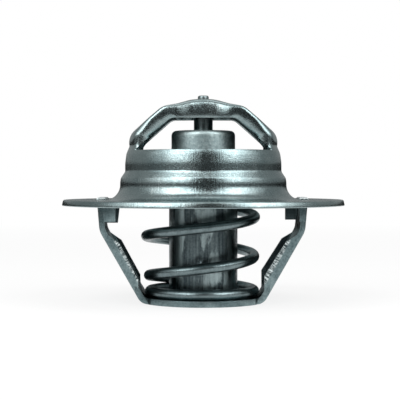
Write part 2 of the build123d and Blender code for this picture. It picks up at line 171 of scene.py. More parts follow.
def smooth_shading(piece, angle=35.0):
    """Smooth shading up to an angle, hard edges beyond it."""
    make_active(piece)
    bpy.ops.object.shade_smooth_by_angle(angle=math.radians(angle))


def settle(piece, body, replaced):
    """Tie a finished piece to its body, and hide the CAD piece that it stands for."""
    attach(piece, body)
    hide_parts(replaced)


def eased(share):
    """A share that starts and ends gently, held between 0 and 1."""
    share = np.clip(share, 0, 1)
    return share**2 * (3 - 2 * share)


print("millimetre in metres:", MM)

# %% [markdown]
# ## The camera
#
# The picture was taken level with the flange, from close by, so the near rim of the flange sits a
# little lower than the far one. The camera stands 240 mm in front of the axis, just above the flange.
# The lens is shifted, not tilted, so that upright edges stay upright.

# %% Camera at the picture's view
CAMERA_DISTANCE = 240.0
CAMERA_HEIGHT = 23.6
SCALE_AT_AXIS = 5.26
IMAGE_WIDTH = 400
SENSOR_WIDTH = 36.0
AXIS_COLUMN = 203.3
HORIZON_ROW = 177.5

clear_selection()
bpy.ops.object.camera_add(
    location=(0, -CAMERA_DISTANCE * MM, CAMERA_HEIGHT * MM),
    rotation=(math.radians(90), 0, 0),
)
camera = bpy.context.object
camera.name = "catalogue_camera"
camera.data.sensor_width = SENSOR_WIDTH
camera.data.lens = SENSOR_WIDTH * SCALE_AT_AXIS * CAMERA_DISTANCE / IMAGE_WIDTH
camera.data.shift_x = -(AXIS_COLUMN - IMAGE_WIDTH / 2) / IMAGE_WIDTH
camera.data.shift_y = (HORIZON_ROW - IMAGE_WIDTH / 2) / IMAGE_WIDTH
camera.data.clip_start = 10 * MM
bpy.context.scene.camera = camera
print(f"lens {camera.data.lens:.1f} mm, shift {camera.data.shift_x:.4f}, {camera.data.shift_y:.4f}")

# %% [markdown]
# ## Sizes that the pieces share
#
# These repeat the CAD's own heights and radii, so that each surface lands on its solid.

# %% Shared heights and radii, in mm
FLANGE_Z = 18.3
CROWN_Z = 38.3
SHEET = 1.1
FLANGE_RADIUS = 26.75
SILL_Z = 28.7
FLANGE_TOP_Z = FLANGE_Z + SHEET
print(f"flange {FLANGE_Z} to {FLANGE_TOP_Z}, window sill {SILL_Z}, crown {CROWN_Z}")

# %% [markdown]
# ## The valve housing
#
# On the real part the flange, the stepped dome and the bridge are one drawn sheet. The dome is spun
# from its outline. The bridge is a grid laid over the roof, and the two meet point for point at the
# dome's rim. Only then does the whole surface get its thickness, so it stays one sheet. The outline
# lists reach and height, from the flange's edge up over the roof to the crown.

# %% The dome and flange, spun from their outline
SPIN_STEPS = 360
ROUNDING_STEP = 6.0
shell_corners = [
    (FLANGE_RADIUS, FLANGE_TOP_Z),
    (15.78, FLANGE_TOP_Z),
    (15.78, FLANGE_Z + 4.35),
    (15.64, FLANGE_Z + 5.2),
    (14.83, FLANGE_Z + 6.4),
    (14.83, FLANGE_Z + 7.95),
    (14.6, FLANGE_Z + 9.8),
    (14.0, FLANGE_Z + 11.2),
    (14.28, FLANGE_Z + 13.1),
    (8.0, FLANGE_Z + 18.55),
    (5.6, FLANGE_Z + 19.05),
    (2.6, CROWN_Z),
    (0, CROWN_Z),
]
shell_radii = [2.8, 3.5, 0.9, 0.9, 6.0, 2.6, 0.8, 3.0, 3.0, 4.0, 4.0]
shell_outline = rounded(shell_corners, shell_radii, ROUNDING_STEP)


def cut_at_height(outline, height):
    """The outline below a height, ending exactly on it."""
    kept = [outline[0]]
    for before, after in zip(outline, outline[1:]):
        if after.y > height:
            share = (height - before.y) / (after.y - before.y)
            kept.append(before.lerp(after, share))
            return kept
        kept.append(after)
    return kept


dome_outline = cut_at_height(shell_outline, SILL_Z)
rim_radius = dome_outline[-1].x
FLANGE_RINGS = 8
flange_start = dome_outline[0]
flange_run = [flange_start.lerp(dome_outline[1], ring / FLANGE_RINGS) for ring in range(FLANGE_RINGS)]
valve_housing_sheet = trace_outline("valve_housing_sheet", flange_run + dome_outline[1:])
spin_outline(SPIN_STEPS)
print(f"dome surface: {len(valve_housing_sheet.data.polygons)} faces, rim radius {rim_radius:.2f} mm")

# %% [markdown]
# The bridge is what two punched windows leave of the roof. Its middle follows the roof, and its
# sides roll over and hang down as lips, whose lower edge is the window's. The crown is pinched in
# and nearly flat across, the legs' lips curl in a little, and the feet are as round as the dome.

# %% The bridge's sizes, in mm
FOOT_HALF_STEPS = 27
FLAT_STEPS = 21
FOLD_STEPS = 4
BRIDGE_STATIONS = 96
BRIDGE_HALF_WIDTH = 6.8
FOLD_REACH = [0, 4.5, 6.5, 10.0, 12.5]
FOLD_RADIUS = [1.2, 1.2, 0.6, 0.6, 1.3]
FOOT_REACH = [9.0, 12.5]
FOOT_HALF_WIDTH = 6.5
CROWN_PINCH = 0.55
PINCH_HOLDS_TO = 2.0
PINCH_FADES_OVER = 3.2
LIP_CURL = 0.26
LIP_CURL_REACH = [5.0, 7.0, 10.0, 12.0]
ACROSS_CURVE = 0.4
ARC_SHARE = 0.4
FOOT_BLEND = 3.4
WINDOW_TOP_HALF = 6.0
WINDOW_TOP_Z = FLANGE_Z + 16.4
WINDOW_CORNER = 2.0
SPIN_STEP = 2 * math.pi / SPIN_STEPS
ROOF_SAMPLES = 400
LIP_STEPS = FOOT_HALF_STEPS - FLAT_STEPS - FOLD_STEPS
print(f"bridge rows: {2 * FOOT_HALF_STEPS + 1}, of which {2 * LIP_STEPS} lie on the lips")

# %% The roof's line and the window's edge
roof_outline = [Vector((rim_radius, SILL_Z))] + [point for point in shell_outline if point.y > SILL_Z]
roof_r = np.array([point.x for point in roof_outline])
roof_z = np.array([point.y for point in roof_outline])
window_sill_half = rim_radius * math.cos(FOOT_HALF_STEPS * SPIN_STEP)
window_edge = np.array([
    tuple(point)
    for point in rounded(
        [(window_sill_half, SILL_Z), (WINDOW_TOP_HALF, WINDOW_TOP_Z), (0, WINDOW_TOP_Z)],
        [WINDOW_CORNER],
        ROUNDING_STEP,
    )
])
print(f"window: {2 * window_sill_half:.1f} mm wide at its sill, {2 * WINDOW_TOP_HALF:.1f} at its top")


def evenly_along(x, z, shares):
    """Points at given shares of a line's length."""
    steps = np.hypot(np.diff(x), np.diff(z))
    along = np.concatenate([[0], np.cumsum(steps)])
    along /= along[-1]
    return np.interp(shares, along, x), np.interp(shares, along, z)


def roof_cut(y, shares):
    """Where a plane at y cuts the roof: from the rim up to the middle, by share of length."""
    dense_r, dense_z = evenly_along(roof_r, roof_z, np.linspace(0, 1, ROOF_SAMPLES))
    kept = dense_r >= y
    radius = np.append(dense_r[kept], y)
    height = np.append(dense_z[kept], np.interp(-y, -roof_r, roof_z))
    return evenly_along(np.sqrt(np.maximum(radius**2 - y**2, 0)), height, shares)


# %% One line along the bridge
def bridge_row(step, shares):
    """One line along the bridge, from its right foot to its middle, in mm."""
    rank, side = abs(step), math.copysign(1, step)
    across = min(rank / FLAT_STEPS, 1)
    fold = math.pi / 2 * min(max(rank - FLAT_STEPS, 0) / FOLD_STEPS, 1)
    lip = max(rank - FLAT_STEPS - FOLD_STEPS, 0) / LIP_STEPS
    x, z = roof_cut(BRIDGE_HALF_WIDTH * across * ACROSS_CURVE, shares)
    arc_x, arc_z = roof_cut((FOOT_HALF_WIDTH - FOLD_RADIUS[-1]) * across, shares)
    on_arc = eased(1 - shares / ARC_SHARE)
    x, z = x + (arc_x - x) * on_arc, z + (arc_z - z) * on_arc
    radius = np.interp(x, FOLD_REACH, FOLD_RADIUS)
    half_width = np.interp(x, FOOT_REACH, [BRIDGE_HALF_WIDTH, FOOT_HALF_WIDTH])
    flat = (half_width - radius) * across
    slope_x, slope_z = np.gradient(x), np.gradient(z)
    inward = radius * (1 - math.cos(fold)) / np.hypot(slope_x, slope_z)
    x, z = x - slope_z * inward, z + slope_x * inward
    edge_x, edge_z = evenly_along(window_edge[:, 0], window_edge[:, 1], shares)
    x, z = x + (edge_x - x) * lip, z + (edge_z - z) * lip
    x, z = np.maximum(x, 0), np.maximum(z, SILL_Z)
    pinch = CROWN_PINCH * (1 - eased((x - PINCH_HOLDS_TO) / PINCH_FADES_OVER))
    y = flat + radius * math.sin(fold) - pinch * across
    y = y - np.interp(x, LIP_CURL_REACH, [0, LIP_CURL, LIP_CURL, 0]) * lip**3
    grown = eased((z - SILL_Z) / FOOT_BLEND)
    wall_r = np.interp(z, roof_z, roof_r)
    wall_x, wall_y = wall_r * math.cos(rank * SPIN_STEP), wall_r * math.sin(rank * SPIN_STEP)
    return (
        wall_x + (x - wall_x) * grown ** (1 - lip),
        side * (wall_y + (y - wall_y) * grown),
        z,
    )


# %% The grid, laid line by line over the roof
clear_selection()
bpy.ops.mesh.primitive_grid_add(
    x_subdivisions=2 * BRIDGE_STATIONS, y_subdivisions=2 * FOOT_HALF_STEPS, size=2 * MM
)
bridge_sheet = bpy.context.object
bridge_sheet.name = "bridge_sheet"
half_shares = np.linspace(0, 1, BRIDGE_STATIONS + 1)
for row in range(-FOOT_HALF_STEPS, FOOT_HALF_STEPS + 1):
    x, y, z = bridge_row(row, half_shares)
    for station in range(2 * BRIDGE_STATIONS + 1):
        right = station >= BRIDGE_STATIONS
        place = 2 * BRIDGE_STATIONS - station if right else station
        index = (row + FOOT_HALF_STEPS) * (2 * BRIDGE_STATIONS + 1) + station
        sign = 1 if right else -1
        vertex = bridge_sheet.data.vertices[index]
        vertex.co = Vector((sign * x[place], y[place], z[place])) * MM
print(f"bridge surface: {len(bridge_sheet.data.polygons)} faces")

# %% [markdown]
# Welding comes before the thickness, so that the solid has no inner wall where dome and bridge
# meet. The press leaves the flange's rim slightly tapered and round, and every cut edge dull.

# %% Join dome and bridge, weld them and give the sheet its thickness
HOUSING_WELD = 0.01
HOUSING_EDGE = 0.14
HOUSING_EDGE_ANGLE = 50
RIM_BAND = 0.05
RIM_TAPER = 0.26
RIM_ROUND = 0.3
SHEET_SMOOTHING = 40
make_active(valve_housing_sheet)
bridge_sheet.select_set(True)
bpy.ops.object.join()
bpy.ops.object.mode_set(mode="EDIT")
bpy.ops.mesh.select_all(action="SELECT")
bpy.ops.mesh.remove_doubles(threshold=HOUSING_WELD * MM)
bpy.ops.mesh.normals_make_consistent(inside=False)
bpy.ops.object.mode_set(mode="OBJECT")
crown_up = max(valve_housing_sheet.data.polygons, key=lambda face: face.center.z).normal.z
if crown_up < 0:
    valve_housing_sheet.data.flip_normals()
apply_modifier(
    valve_housing_sheet, "SOLIDIFY", thickness=SHEET * MM, offset=-1.0, use_even_offset=False
)
rim_group = valve_housing_sheet.vertex_groups.new(name="flange_rim")
for vertex in valve_housing_sheet.data.vertices:
    radius = math.hypot(vertex.co.x, vertex.co.y)
    if radius > (FLANGE_RADIUS - RIM_BAND) * MM:
        rim_group.add([vertex.index], 1.0, "REPLACE")
        if vertex.co.z > (FLANGE_Z + SHEET / 2) * MM:
            vertex.co.x *= 1 - RIM_TAPER / FLANGE_RADIUS
            vertex.co.y *= 1 - RIM_TAPER / FLANGE_RADIUS
apply_modifier(
    valve_housing_sheet, "BEVEL", width=RIM_ROUND * MM, segments=4, limit_method="VGROUP",
    vertex_group=rim_group.name,
)
dull_edges(valve_housing_sheet, HOUSING_EDGE, 2, HOUSING_EDGE_ANGLE)
smooth_shading(valve_housing_sheet, SHEET_SMOOTHING)
settle(valve_housing_sheet, "frame", "valve_housing")
print(f"valve housing: {len(valve_housing_sheet.data.polygons)} faces")

# %% [markdown]
# ## The lower frame
#
# The CAD solid has the strap's outline, ears and notches. A merged copy of it is cleaned to large
# flat faces, and its edges are then rounded, since pressed sheet never has a knife edge.

# %% The lower frame, from a merged copy of its solid
FRAME_EDGE = 0.22
FRAME_EDGE_ANGLE = 30
SOLID_WELD = 0.001


def merged_copy(node, name):
    """A copy of a CAD piece with its loose triangles merged into clean faces."""
    clear_selection()
    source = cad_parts[node]
    piece = bpy.data.objects.new(name, source.data.copy())
    bpy.context.scene.collection.objects.link(piece)
    piece.data.transform(source.matrix_world)
    make_active(piece)
    bpy.ops.object.mode_set(mode="EDIT")
    bpy.ops.mesh.select_all(action="SELECT")
    bpy.ops.mesh.remove_doubles(threshold=SOLID_WELD * MM)
    bpy.ops.mesh.dissolve_limited(angle_limit=math.radians(1))
    bpy.ops.object.mode_set(mode="OBJECT")
    return piece


lower_strap = merged_copy("lower_frame", "lower_strap")
print(f"strap copy: {len(lower_strap.data.polygons)} faces")

# %% [markdown]
# The real strap isn't quite even. The near side flanges splay, the left arm leans out with a slight
# twist, one ear is longer and one is a stub. So each corner of the copy is looked up by its reach
# and height and sent to its new place.

# %% The arms, set as the press left them
WEB_FOOT_REACH = 11.14
WEB_LEAN = 0.573
WEB_SQUARE = math.cos(math.atan(WEB_LEAN))
FLANGE_DEPTH = 2.4
NEAR_SPLAY = 0.75
FAR_SPLAY = 0.15
SPLAY_HEIGHTS = (3, 13)
ARM_HALF_WIDTH = 6.5
LEFT_SHIFT = 0.32
LEFT_TWIST = 0.25
FAR_EAR_DROP = 0.6
ARM_FROM_REACH = 9.5
ARM_BLEND = 1.5
TWIST_HEIGHTS = [1.2, 5, 9, 15, 16.8]
TWIST_SHARES = [0.2, 0.4, 1, 1, 0]
EAR_FOOT_Z = 15.4
EAR_SIDE = 5
CORNER_REACH_SLACK = 0.015
CORNER_HEIGHT_SLACK = 0.02
FLANGE_CORNERS = {
    (14.94, 11.46): {1: (15.3, 11.75), -1: (15.15, 11.42)},
    (11.80, 5.98): {1: (11.3, 5.5), -1: (11.7, 4.7)},
    (11.80, 3.40): {1: (11.3, 2.2), -1: (11.7, 2.25)},
}


def arm_place(x, y, z):
    """Where a corner of the strap goes, in mm."""
    side, reach = math.copysign(1, x), abs(x)
    depth = (WEB_FOOT_REACH + WEB_LEAN * z - reach) * WEB_SQUARE
    new_reach, new_z = reach, z
    for (corner_reach, corner_z), targets in FLANGE_CORNERS.items():
        near_reach = abs(reach - corner_reach) < CORNER_REACH_SLACK
        if near_reach and abs(z - corner_z) < CORNER_HEIGHT_SLACK:
            new_reach, new_z = targets[side]
    new_y = y
    if SPLAY_HEIGHTS[0] < z < SPLAY_HEIGHTS[1] and depth > SHEET:
        splay = NEAR_SPLAY if y < 0 else FAR_SPLAY
        new_y += math.copysign(splay, y) * (depth - SHEET) / (FLANGE_DEPTH - SHEET)
    if side < 0 and reach > ARM_FROM_REACH:
        twist = np.interp(z, TWIST_HEIGHTS, TWIST_SHARES)
        lean = LEFT_SHIFT + LEFT_TWIST * twist * (1 + y / ARM_HALF_WIDTH)
        new_reach += lean * min((reach - ARM_FROM_REACH) / ARM_BLEND, 1)
        if y > EAR_SIDE and abs(z - EAR_FOOT_Z) < CORNER_HEIGHT_SLACK:
            new_z -= FAR_EAR_DROP
    return Vector((side * new_reach, new_y, new_z))


for vertex in lower_strap.data.vertices:
    vertex.co = arm_place(*(vertex.co / MM)) * MM
print("arm corners set by hand:", 2 * len(FLANGE_CORNERS))

# %% The ear's stub, and the strap's dull edges
EAR_STUB = ((17.8, -6.9, 15.45), (18.96, -5.9, 18.28))
clear_selection()
bpy.ops.mesh.primitive_cube_add(size=1)
ear_stub = bpy.context.object
for vertex in ear_stub.data.vertices:
    vertex.co = Vector([
        low if share < 0 else high for share, low, high in zip(vertex.co, *EAR_STUB)
    ]) * MM
make_active(lower_strap)
ear_stub.select_set(True)
bpy.ops.object.join()
dull_edges(lower_strap, FRAME_EDGE, 3, FRAME_EDGE_ANGLE)
smooth_shading(lower_strap, SHEET_SMOOTHING)
print(f"lower frame: {len(lower_strap.data.polygons)} faces")

# %% The sheared edges, found by their place and normal
CUT_EDGE_HEIGHTS = (3.5, 12.5)
CUT_EDGE_REACH = 10.5
CUT_EDGE_SIDE = 5
CUT_EDGE_FACING = 0.6


def is_cut_edge(face):
    """True for the sheared free edges of the arms' side flanges."""
    x, y, z = face.center / MM
    inward = Vector((-math.copysign(WEB_SQUARE, x), 0, WEB_LEAN * WEB_SQUARE))
    in_place = abs(x) > CUT_EDGE_REACH and abs(y) > CUT_EDGE_SIDE
    on_arm = CUT_EDGE_HEIGHTS[0] < z < CUT_EDGE_HEIGHTS[1]
    return in_place and on_arm and face.normal.dot(inward) > CUT_EDGE_FACING


cut_edges = [face.index for face in lower_strap.data.polygons if is_cut_edge(face)]
print(f"sheared edge faces: {len(cut_edges)}")
settle(lower_strap, "frame", "lower_frame")

# %% [markdown]
# ## The main spring
#
# The wire is a curve with a round section. Its end turns lie closed and flat, so the pitch starts at
# nothing, grows, and falls away again. The coil leans a little to the left, and its hidden head is
# straight again.

# %% The coil of the main spring
WIRE_RADIUS = 1.0
SPRING_TURNS = 4.63
CLOSED_TURNS = 0.85
BLEND_TURNS = 0.35
SPRING_FOOT_Z = SHEET + WIRE_RADIUS
SPRING_HEAD_Z = FLANGE_Z + 3.98
SPRING_TOP_Z = SPRING_HEAD_Z - WIRE_RADIUS
SPRING_FOOT_RADIUS = 9.85
SPRING_TOP_RADIUS = 10.6
SPRING_FOOT_ANGLE = 29.5
SPRING_FOOT_LEAN = 0.25
SPRING_HEAD_LEAN = 0.35
LEAN_FULL_AT = 0.6
HEAD_STRAIGHT_FROM = 0.85
WIRE_END_EDGE = 0.2
WIRE_END_ANGLE = 60
COIL_POINTS_PER_TURN = 72
spring_rise = SPRING_TOP_Z - SPRING_FOOT_Z
spring_pitch = spring_rise / (SPRING_TURNS - 2 * CLOSED_TURNS - BLEND_TURNS)


def coil_point(turn):
    """Centre of the wire after a number of turns, in mm."""
    upper = turn > SPRING_TURNS / 2
    run = (SPRING_TURNS - turn if upper else turn) - CLOSED_TURNS
    climb = 0.0
    if run > BLEND_TURNS:
        climb = spring_pitch * (run - BLEND_TURNS / 2)
    elif run > 0:
        climb = spring_pitch * run**2 / (2 * BLEND_TURNS)
    height = SPRING_TOP_Z - climb if upper else SPRING_FOOT_Z + climb
    share = (height - SPRING_FOOT_Z) / spring_rise
    radius = SPRING_FOOT_RADIUS + share * (SPRING_TOP_RADIUS - SPRING_FOOT_RADIUS)
    angle = math.radians(SPRING_FOOT_ANGLE) + 2 * math.pi * turn
    lean = SPRING_FOOT_LEAN + SPRING_HEAD_LEAN * min(share / LEAN_FULL_AT, 1)
    lean *= 1 - max((share - HEAD_STRAIGHT_FROM) / (1 - HEAD_STRAIGHT_FROM), 0)
    return Vector((radius * math.cos(angle) - lean, radius * math.sin(angle), height))


coil_steps = round(SPRING_TURNS * COIL_POINTS_PER_TURN)
clear_selection()
bpy.ops.curve.primitive_nurbs_path_add()
spring_wire = bpy.context.object
spring_wire.name = "spring_wire"
spring_wire.data.splines.clear()
coil = spring_wire.data.splines.new("POLY")
coil.points.add(coil_steps)
for index, point in enumerate(coil.points):
    point.co = (*(coil_point(SPRING_TURNS * index / coil_steps) * MM), 1)
spring_wire.data.bevel_depth = WIRE_RADIUS * MM
spring_wire.data.bevel_resolution = 6
spring_wire.data.use_fill_caps = True
bpy.ops.object.convert(target="MESH")
spring_wire = bpy.context.object
dull_edges(spring_wire, WIRE_END_EDGE, 3, WIRE_END_ANGLE)
smooth_shading(spring_wire, SHEET_SMOOTHING)
settle(spring_wire, "frame", "main_spring")
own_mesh(spring_wire)
print(f"spring: {len(spring_wire.data.polygons)} faces, pitch {spring_pitch:.2f} mm")

# %% [markdown]
# ## The wax element
#
# The cup is deep drawn and crimped over the guide. The guide is turned, and the piston is a ground
# pin with a thin neck, riveted over the bridge's crown. All three are turned shapes, so each is an
# outline of reach and height, spun round the axis.

# %% The guide's head
GUIDE_TOP_Z = FLANGE_Z + 14.15
GUIDE_RADIUS = 6.05
GUIDE_BORE_RADIUS = 1.85
GUIDE_FLANGE_RADIUS = 7.66
GUIDE_FLANGE_THICK = 1.5
COLLAR_TOP_Z = 25.9
DISH_FLOOR_Z = 22.3
CUP_FOOT_Z = 0.7
CUP_SHEET = 0.6
COLLAR_LIP_Z = COLLAR_TOP_Z - CUP_SHEET
GUIDE_FLANGE_Z = COLLAR_LIP_Z - GUIDE_FLANGE_THICK
TURNED_STEPS = 144
guide_head = turned_piece(
    "guide_head",
    [
        (GUIDE_BORE_RADIUS, GUIDE_FLANGE_Z),
        (GUIDE_FLANGE_RADIUS, GUIDE_FLANGE_Z),
        (GUIDE_FLANGE_RADIUS, COLLAR_LIP_Z),
        (GUIDE_RADIUS, COLLAR_LIP_Z),
        (GUIDE_RADIUS, GUIDE_TOP_Z),
        (GUIDE_BORE_RADIUS, GUIDE_TOP_Z),
    ],
    [0.2, 0.2, 0.1, 0.9],
    steps=TURNED_STEPS,
)
settle(guide_head, "valve", "guide_cap")

# %% The cup, hollow, with its collar closed over the guide
CUP_RADIUS = 6.5
COLLAR_RADIUS = 8.3
CUP_INNER = CUP_RADIUS - CUP_SHEET
COLLAR_INNER = COLLAR_RADIUS - CUP_SHEET
cup_shell = turned_piece(
    "cup_shell",
    [
        (0, CUP_FOOT_Z),
        (CUP_RADIUS, CUP_FOOT_Z),
        (CUP_RADIUS, DISH_FLOOR_Z),
        (COLLAR_RADIUS, DISH_FLOOR_Z),
        (COLLAR_RADIUS, COLLAR_TOP_Z),
        (CUP_RADIUS, COLLAR_TOP_Z),
        (CUP_RADIUS, COLLAR_LIP_Z),
        (COLLAR_INNER, COLLAR_LIP_Z),
        (COLLAR_INNER, DISH_FLOOR_Z + CUP_SHEET),
        (CUP_INNER, DISH_FLOOR_Z + CUP_SHEET),
        (CUP_INNER, CUP_FOOT_Z + CUP_SHEET),
        (0, CUP_FOOT_Z + CUP_SHEET),
    ],
    [1.4, 0.3, 0.8, 0.8, 0.2, 0.1, 0.3, 0.2, 0.3, 0.8],
    steps=TURNED_STEPS,
    step_angle=10,
)
settle(cup_shell, "valve", "wax_cup")

# %% The piston, from its cone foot to its riveted head
PISTON_FOOT_Z = FLANGE_Z - 9.0
PISTON_CONE_TOP_Z = FLANGE_Z - 7.0
PISTON_TIP_RADIUS = 0.7
PISTON_RADIUS = 1.8
NECK_RADIUS = 0.85
RIVET_RADIUS = 1.05
RIVET_TOP_Z = CROWN_Z + 0.85
piston_pin = turned_piece(
    "piston_pin",
    [
        (0, PISTON_FOOT_Z),
        (PISTON_TIP_RADIUS, PISTON_FOOT_Z),
        (PISTON_RADIUS, PISTON_CONE_TOP_Z),
        (PISTON_RADIUS, CROWN_Z - SHEET),
        (NECK_RADIUS, CROWN_Z - SHEET),
        (NECK_RADIUS, CROWN_Z),
        (RIVET_RADIUS, CROWN_Z),
        (RIVET_RADIUS, RIVET_TOP_Z),
        (0, RIVET_TOP_Z),
    ],
    [0.1, 0.1, 0, 0, 0, 0, 0.35],
    steps=TURNED_STEPS // 2,
)
settle(piston_pin, "frame", "piston")

# %% [markdown]
# ## Finishes
#
# Every finish is worked out from object coordinates, so it stays put when the camera or a joint
# moves. Three effects are used by several metals, and each is a node group: grain that runs round
# the axis or along it, soft stains, and fine speckle.

# %% Node helpers
def add_node(tree, kind, inputs=None, **settings):
    """Add a node, set its properties and link or fill its inputs."""
    node = tree.nodes.new(kind)
    for key, value in settings.items():
        setattr(node, key, value)
    for key, value in (inputs or {}).items():
        socket = node.inputs[key]
        if isinstance(value, bpy.types.NodeSocket):
            tree.links.new(value, socket)
        else:
            socket.default_value = value
    return node


def maths(tree, operation, *values):
    """A Math node's result."""
    inputs = dict(enumerate(values))
    return add_node(tree, "ShaderNodeMath", inputs, operation=operation).outputs[0]


def times(tree, first, second):
    """The product of two sockets or numbers."""
    return maths(tree, "MULTIPLY", first, second)


def vector_maths(tree, operation, *vectors):
    """A Vector Math node's outputs."""
    inputs = dict(enumerate(vectors))
    return add_node(tree, "ShaderNodeVectorMath", inputs, operation=operation).outputs


def ranged(tree, value, low, high, to_low=0.0, to_high=1.0, smooth=False):
    """A Map Range node's result."""
    return add_node(
        tree,
        "ShaderNodeMapRange",
        {"Value": value, "From Min": low, "From Max": high, "To Min": to_low, "To Max": to_high},
        interpolation_type="SMOOTHSTEP" if smooth else "LINEAR",
    ).outputs["Result"]


def between(tree, share, at_zero, at_one):
    """A value between two numbers, as a share goes from 0 to 1."""
    return ranged(tree, share, 0.0, 1.0, at_zero, at_one)


def mixed(tree, share, first, second):
    """A colour mix of two colours or sockets."""
    ends = [(*end, 1) if isinstance(end, tuple) else end for end in (first, second)]
    inputs = {0: share, 6: ends[0], 7: ends[1]}
    return add_node(tree, "ShaderNodeMix", inputs, data_type="RGBA").outputs[2]


def noise(tree, vector, scale, detail, roughness, distortion=0.0):
    """A noise texture's value."""
    inputs = {"Vector": vector, "Scale": scale, "Detail": detail, "Roughness": roughness}
    inputs["Distortion"] = distortion
    return add_node(tree, "ShaderNodeTexNoise", inputs).outputs["Fac"]


def place_in_mm(tree, place):
    """The three coordinates of a place, in mm."""
    axes = add_node(tree, "ShaderNodeSeparateXYZ", {0: place}).outputs
    return [times(tree, axes[name], 1 / MM) for name in "XYZ"]


def new_group(name, inputs, outputs):
    """An empty shader node group with named inputs and outputs."""
    group = bpy.data.node_groups.new(name, "ShaderNodeTree")
    for key, kind in inputs.items():
        group.interface.new_socket(key, in_out="INPUT", socket_type=kind)
    for key, kind in outputs.items():
        group.interface.new_socket(key, in_out="OUTPUT", socket_type=kind)
    return group, group.nodes.new("NodeGroupInput"), group.nodes.new("NodeGroupOutput")


NUMBER, VECTOR = "NodeSocketFloat", "NodeSocketVector"

# %% [markdown]
# Drawn and turned metal carries fine lines round its axis, and a punch leaves marks along it. Both
# are one noise, stretched one way or the other. The noise is read on a ring, so it has no seam.

# %% The grain group
grain_group, grain_in, grain_out = new_group(
    "ring_grain", {"Vector": VECTOR, "Around": NUMBER, "Along": NUMBER}, {"Lines": NUMBER}
)
flat_vector = vector_maths(grain_group, "MULTIPLY", grain_in.outputs["Vector"], (1, 1, 0))[0]
ring_radius = vector_maths(grain_group, "LENGTH", flat_vector)["Value"]
ring_unit = vector_maths(grain_group, "NORMALIZE", flat_vector)[0]
ring_place = add_node(
    grain_group, "ShaderNodeVectorMath",
    {0: ring_unit, "Scale": grain_in.outputs["Around"]}, operation="SCALE",
).outputs[0]
height_node = add_node(grain_group, "ShaderNodeSeparateXYZ", {0: grain_in.outputs["Vector"]})
run_along = times(
    grain_group,
    maths(grain_group, "SUBTRACT", height_node.outputs["Z"], ring_radius),
    grain_in.outputs["Along"],
)
run_vector = add_node(grain_group, "ShaderNodeCombineXYZ", {"Z": run_along}).outputs[0]
grain_vector = vector_maths(grain_group, "ADD", ring_place, run_vector)[0]
grain_noise = noise(grain_group, grain_vector, 1.0, 4.0, 0.62)
grain_group.links.new(grain_noise, grain_out.inputs["Lines"])
print("group:", grain_group.name)

# %% [markdown]
# Stains are slow changes of tone, left by oil and heat. Speckle is the fine texture of rolled sheet.

# %% The stain and speckle groups
stain_group, stain_in, stain_out = new_group(
    "soft_stains",
    {"Vector": VECTOR, "Scale": NUMBER, "Low": NUMBER, "High": NUMBER},
    {"Mask": NUMBER},
)
stain_from = stain_in.outputs
stain_noise = noise(stain_group, stain_from["Vector"], stain_from["Scale"], 5.0, 0.58, 0.4)
stain_mask = ranged(stain_group, stain_noise, stain_from["Low"], stain_from["High"], smooth=True)
stain_group.links.new(stain_mask, stain_out.inputs["Mask"])
speckle_group, speckle_in, speckle_out = new_group(
    "fine_speckle", {"Vector": VECTOR, "Scale": NUMBER}, {"Grain": NUMBER}
)
speckle_from = speckle_in.outputs
speckle_noise = noise(speckle_group, speckle_from["Vector"], speckle_from["Scale"], 2.0, 0.7)
speckle_grain = ranged(speckle_group, speckle_noise, 0.3, 0.7)
speckle_group.links.new(speckle_grain, speckle_out.inputs["Grain"])
print("groups:", stain_group.name, speckle_group.name)

# %% [markdown]
# Each metal mixes its colour from these groups, and takes its roughness and bump from the same marks.

# %% Helpers for the materials
def use_group(tree, group, **inputs):
    """Place a group and fill its inputs; returns its first output."""
    return add_node(tree, "ShaderNodeGroup", inputs, node_tree=group).outputs[0]


def grain_lines(tree, place, around, along):
    """Fine lines: how closely they change round the axis, and along it."""
    return use_group(tree, grain_group, Vector=place, Around=around, Along=along)


def soft_stains(tree, place, scale, low=0.36, high=0.64):
    """Soft patches, from 0 to 1 as the noise goes from low to high."""
    return use_group(tree, stain_group, Vector=place, Scale=scale, Low=low, High=high)


def fine_speckle(tree, place, scale):
    """The sheet's fine texture, from 0 to 1."""
    return use_group(tree, speckle_group, Vector=place, Scale=scale)


def new_material(name, metallic, roughness):
    """A material with its shader and its object coordinates."""
    material = bpy.data.materials.new(name)
    material.use_nodes = True
    tree = material.node_tree
    shader = tree.nodes["Principled BSDF"]
    shader.inputs["Metallic"].default_value = metallic
    shader.inputs["Roughness"].default_value = roughness
    place = tree.nodes.new("ShaderNodeTexCoord").outputs["Object"]
    return material, tree, shader, place


def finish_surface(tree, shader, color, roughness, height, depth):
    """Link a colour, a roughness and a bump of the given depth in mm."""
    tree.links.new(color, shader.inputs["Base Color"])
    tree.links.new(roughness, shader.inputs["Roughness"])
    bump = add_node(
        tree, "ShaderNodeBump", {"Strength": 1.0, "Distance": depth * MM, "Height": height}
    )
    tree.links.new(bump.outputs["Normal"], shader.inputs["Normal"])


